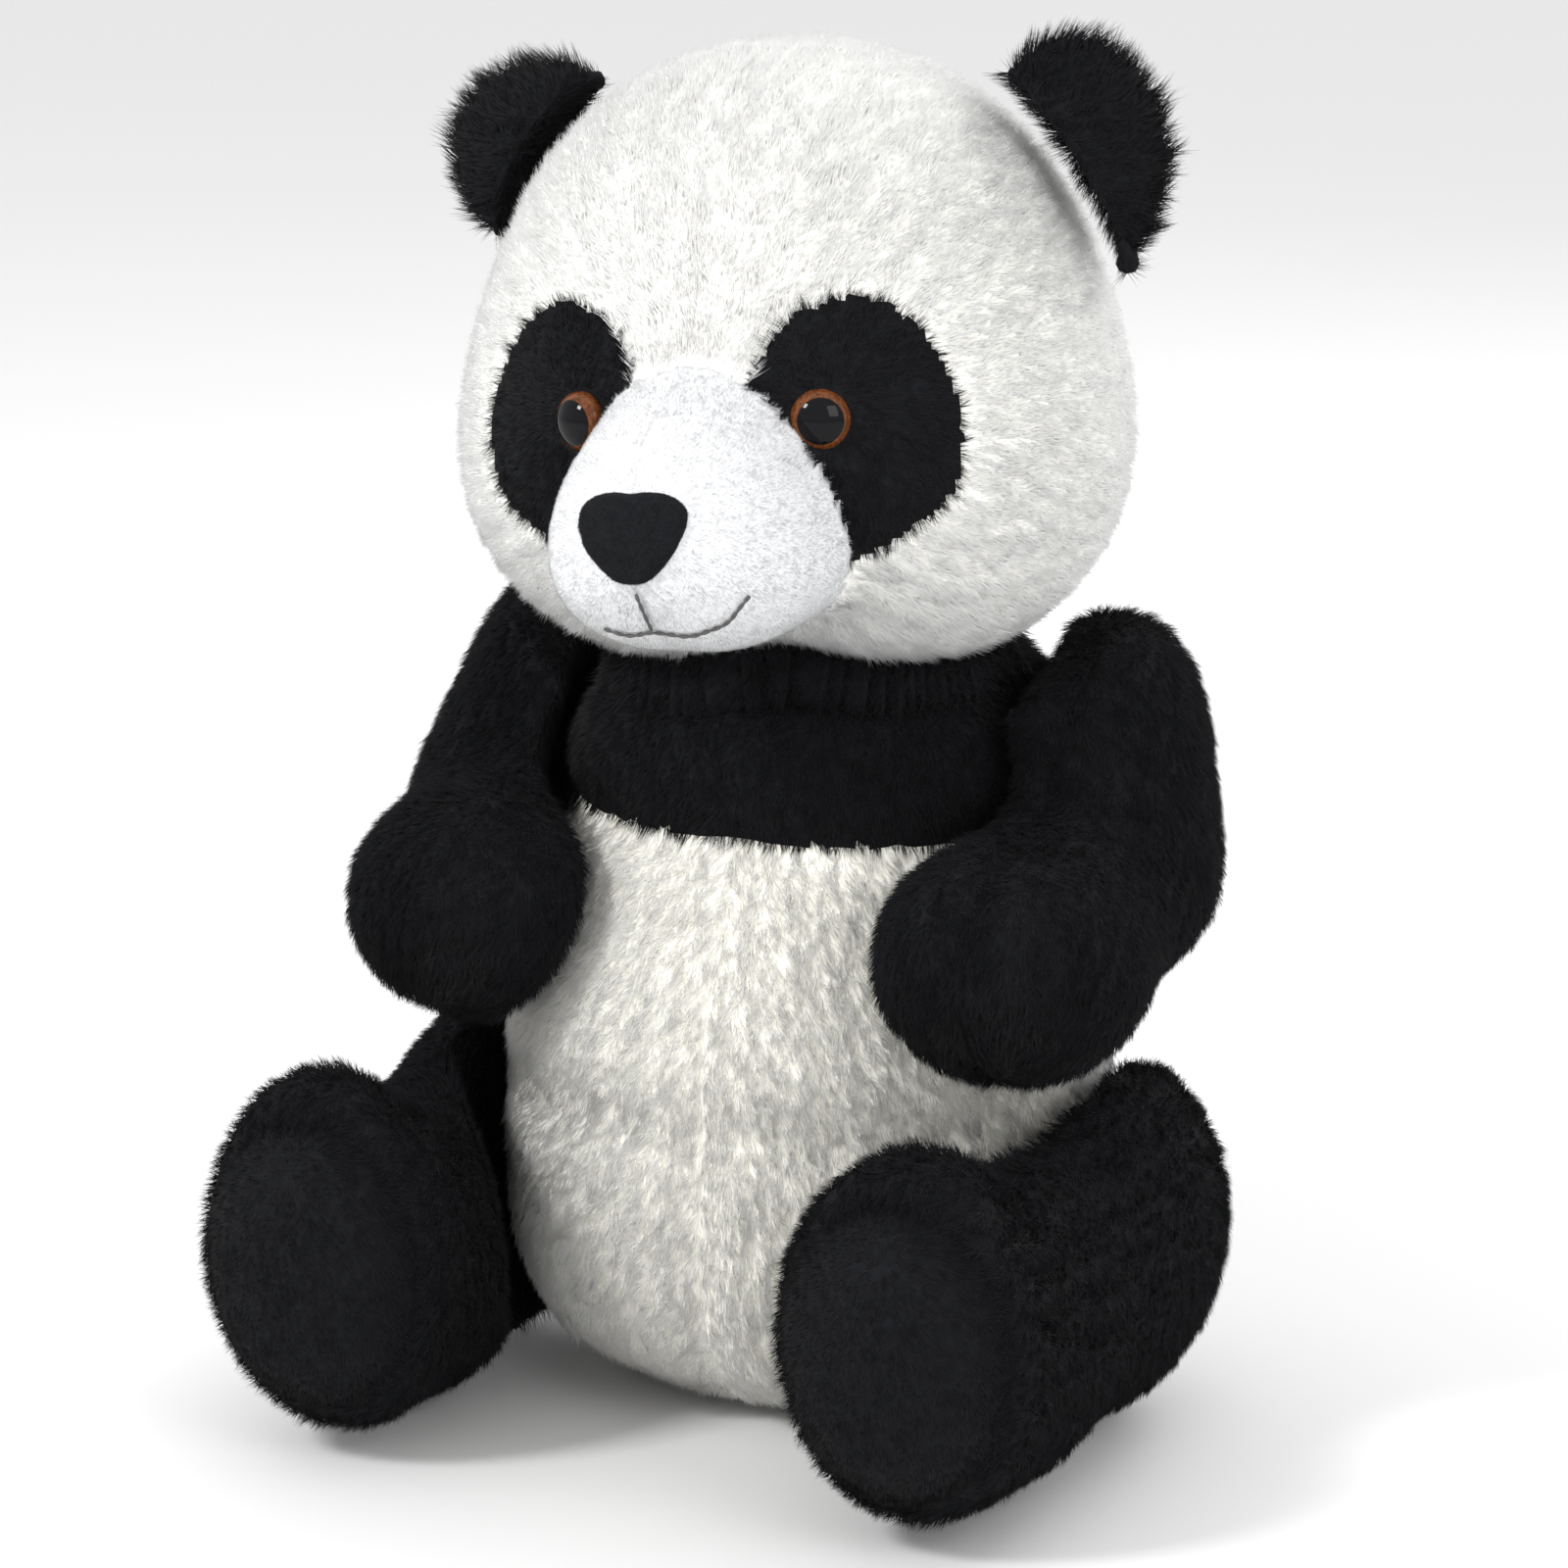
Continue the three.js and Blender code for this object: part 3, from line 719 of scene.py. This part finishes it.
def build_collar(head, torso):
    """Black plush sewn to the body, which fills the seam under the head all round the neck."""
    surface = head.surface
    normals = surface.normals()
    low = surface.points[:, 2] < COLLAR_TOP
    low &= np.linalg.norm(surface.points - NECK, axis=1) > NECK_CLEAR
    gap = np.zeros(len(surface.points))
    for i in np.flatnonzero(low):
        normal = Vector(normals[i])
        hit = torso.ray_cast(Vector(surface.points[i]) + normal * 0.2 * MM, normal, COLLAR_REACH)
        gap[i] = hit[3] if hit[0] is not None else 0

    faces = [f for f in surface.faces if gap[list(f)].min() > COLLAR_LEAST]
    upper = surface.points + normals * COLLAR_PLAY
    lower = surface.points + normals * np.maximum(gap - 1.0 * MM, COLLAR_PLAY + 0.8 * MM)[:, None]
    collar = closed_sheet("neck_collar", lower, upper, faces)
    collar.data.materials.append(BACKING["black"])

    edges = np.array(open_edges(faces))
    draw = np.random.default_rng(7)
    pick = edges[draw.integers(0, len(edges), FRINGE * len(edges))]
    along = draw.random(len(pick))[:, None]
    depth = draw.random(len(pick))[:, None]
    ends = [upper[pick[:, k]] + (lower[pick[:, k]] - upper[pick[:, k]]) * depth for k in (0, 1)]
    roots = ends[0] + (ends[1] - ends[0]) * along
    outward = unit(np.cross(surface.points[pick[:, 1]] - surface.points[pick[:, 0]], normals[pick[:, 0]]))
    heading = unit(outward + np.array([0, 0, -0.9]) + 0.3 * draw.normal(size=outward.shape))
    length = FRINGE_LENGTH * draw.uniform(0.6, 1.1, len(pick))
    width = FRINGE_WIDTH * draw.uniform(0.7, 1.2, len(pick))
    fringe = strands("pile_neck_collar", "black", roots, outward, heading, length, width, droop=0.2)

    for thing in (collar, fringe):
        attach(thing, "torso")


# The face


def tube(path, radii, sides=8):
    """Points and faces of a closed round tube along a path."""
    count = len(path)
    along = unit(np.gradient(path, axis=0))
    across = unit(np.cross(along, along.mean(0) + np.array([0.3, 0.9, 0.2])))
    over = np.cross(along, across)
    turns = [2 * math.pi * k / sides for k in range(sides)]
    points = np.concatenate([[centre + (a * math.cos(t) + o * math.sin(t)) * radius for t in turns]
                             for centre, a, o, radius in zip(path, across, over, radii)])
    faces = []
    for low in range(0, (count - 1) * sides, sides):
        high = low + sides
        faces += [(low + k, low + (k + 1) % sides, high + (k + 1) % sides, high + k) for k in range(sides)]
    ends = [tuple(reversed(range(sides))), tuple((count - 1) * sides + k for k in range(sides))]
    return points, faces + ends


def build_mouth(head):
    """Two runs of backstitch that lie in the muzzle's pile. Their places are across and up from the fork."""
    forward = HEAD_TURN @ Vector((0, 1, 0))
    smile = [(-17, 1), (-9, -2), (0, 0), (11, -2), (23, 2), (31, 11)]
    philtrum = [(0, NOSE_HEIGHT - 15 - MOUTH_FORK), (0.5, 7), (0, 0)]
    points = np.empty((0, 3))
    faces = []
    for run in (smile, philtrum):
        places = np.array(run, float)
        reach = np.concatenate([[0], np.cumsum(np.linalg.norm(np.diff(places, axis=0), axis=1))])
        steps = np.arange(0, reach[-1], 0.4)
        xs, zs = (np.interp(steps, reach, places[:, k]) for k in (0, 1))
        xs, zs = (np.convolve(np.pad(v, 8, mode="edge"), np.ones(17) / 17, "valid") for v in (xs, zs))
        path = []
        for x, z in zip(xs, zs):
            place, normal = head.ray_cast(head_point(x, -250, MOUTH_FORK + z), forward)[:2]
            path.append(place + normal * 0.9 * MM)
        bulge = 0.55 + 0.45 * np.abs(np.sin(steps * math.pi / STITCH))
        more, extra = tube(np.array(path), THREAD_RADIUS * bulge)
        faces += [tuple(i + len(points) for i in f) for f in extra]
        points = np.vstack([points, more])
    mouth = smooth_shaded(new_object("mouth_stitches", points, faces))
    mouth.data.materials.append(THREAD)
    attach(mouth, "head")
    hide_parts("mouth_thread")


def build_eye(word, side):
    """A safety eye: a black pupil in an amber rim under one clear dome, on a flange and a shank."""
    turn = math.radians(side * EYE_TURN)
    ahead = HEAD_TURN @ Vector((math.sin(turn), -math.cos(turn), 0))
    across = HEAD_TURN @ Vector((math.cos(turn), math.sin(turn), 0))
    over = ahead.cross(across)
    centre = head_point(side * EYE[0], EYE[1], EYE[2]) + ahead * 0.3 * MM
    slopes = [k * math.pi / 32 for k in range(1, 17)]
    rings = [(EYE_RADIUS * math.sin(slope), EYE_HEIGHT * math.cos(slope)) for slope in slopes]
    rings += [(EYE_RADIUS, -1.2 * MM), (EYE_RADIUS - 0.5 * MM, -1.7 * MM)]
    rings += [(SHANK_RADIUS, -1.7 * MM), (SHANK_RADIUS, -SHANK_LENGTH)]
    steps = 64
    points = [centre + ahead * EYE_HEIGHT]
    for radius, along in rings:
        for k in range(steps):
            angle = 2 * math.pi * k / steps
            outward = across * math.cos(angle) + over * math.sin(angle)
            points.append(centre + ahead * along + outward * radius)
    points.append(centre - ahead * SHANK_LENGTH)
    faces = [(0, 1 + k, 1 + (k + 1) % steps) for k in range(steps)]
    for ring in range(len(rings) - 1):
        low = 1 + ring * steps
        faces += [(low + k, low + steps + k, low + steps + (k + 1) % steps, low + (k + 1) % steps)
                  for k in range(steps)]
    low = 1 + (len(rings) - 1) * steps
    faces += [(low + k, len(points) - 1, low + (k + 1) % steps) for k in range(steps)]
    eye = smooth_shaded(new_object("eye_dome_" + word, points, faces))
    for material in (PUPIL, IRIS):
        eye.data.materials.append(material)
    for face in eye.data.polygons:
        offset = Vector(face.center) - centre
        flat = offset - ahead * offset.dot(ahead)
        face.material_index = int(flat.length > EYE_RADIUS * PUPIL_SHARE)
    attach(eye, "head")
    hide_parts("eye_" + word)
    washer = NODES["eye_washer_" + word]
    washer.data.materials.clear()
    washer.data.materials.append(WASHER)


build_plush()
for word, side in SIDES:
    build_eye(word, side)


# Camera, light and floor


CAMERA_AZIMUTH = 25       # degrees
CAMERA_ELEVATION = 13
CAMERA_DISTANCE = 1.75    # metres
VIEW_WIDTH = 0.523
SENSOR = 36
AIM_RIGHT = -0.004        # of the point that the camera looks at, in the picture's own directions
AIM_UP = 0.197
LAMP_AIM = Vector((0, 0, 0.22))
WORLD_STRENGTH = 0.95
LAMPS = {                 # place and side in metres, power in watts
    "key": ((-1.1, -1.9, 1.9), 0.55, 44),
    "fill": ((1.9, -1.0, 1.2), 1.2, 16),
    "rim": ((0.6, 1.9, 1.6), 1.2, 18),
}


def build_camera():
    azimuth = math.radians(CAMERA_AZIMUTH)
    elevation = math.radians(CAMERA_ELEVATION)
    right = Vector((math.cos(azimuth), math.sin(azimuth), 0))
    back = Vector((math.sin(azimuth) * math.cos(elevation), -math.cos(azimuth) * math.cos(elevation),
                   math.sin(elevation)))
    target = right * AIM_RIGHT + back.cross(right) * AIM_UP
    data = bpy.data.cameras.new("camera")
    data.sensor_width = SENSOR
    data.lens = SENSOR * CAMERA_DISTANCE / VIEW_WIDTH
    camera = bpy.data.objects.new("camera", data)
    camera.location = target + back * CAMERA_DISTANCE
    camera.rotation_euler = back.to_track_quat("Z", "Y").to_euler()
    bpy.context.scene.collection.objects.link(camera)
    bpy.context.scene.camera = camera


def build_floor():
    floor = new_object("floor", [(-30, -30, 0), (30, -30, 0), (30, 30, 0), (-30, 30, 0)], [(0, 1, 2, 3)])
    floor.data.materials.append(principled("pale_floor", (0.82, 0.82, 0.82), 0.7))


def build_light():
    world = bpy.data.worlds.new("studio")
    world.use_nodes = True
    background = world.node_tree.nodes["Background"]
    background.inputs["Color"].default_value = (1, 1, 1, 1)
    background.inputs["Strength"].default_value = WORLD_STRENGTH
    bpy.context.scene.world = world
    bpy.context.scene.view_settings.view_transform = "Standard"
    for name, (place, size, power) in LAMPS.items():
        light = bpy.data.lights.new(name, "AREA")
        light.shape = "SQUARE"
        light.size = size
        light.energy = power
        lamp = bpy.data.objects.new(name, light)
        lamp.location = place
        lamp.rotation_euler = (Vector(place) - LAMP_AIM).to_track_quat("Z", "Y").to_euler()
        bpy.context.scene.collection.objects.link(lamp)


build_camera()
build_floor()
build_light()
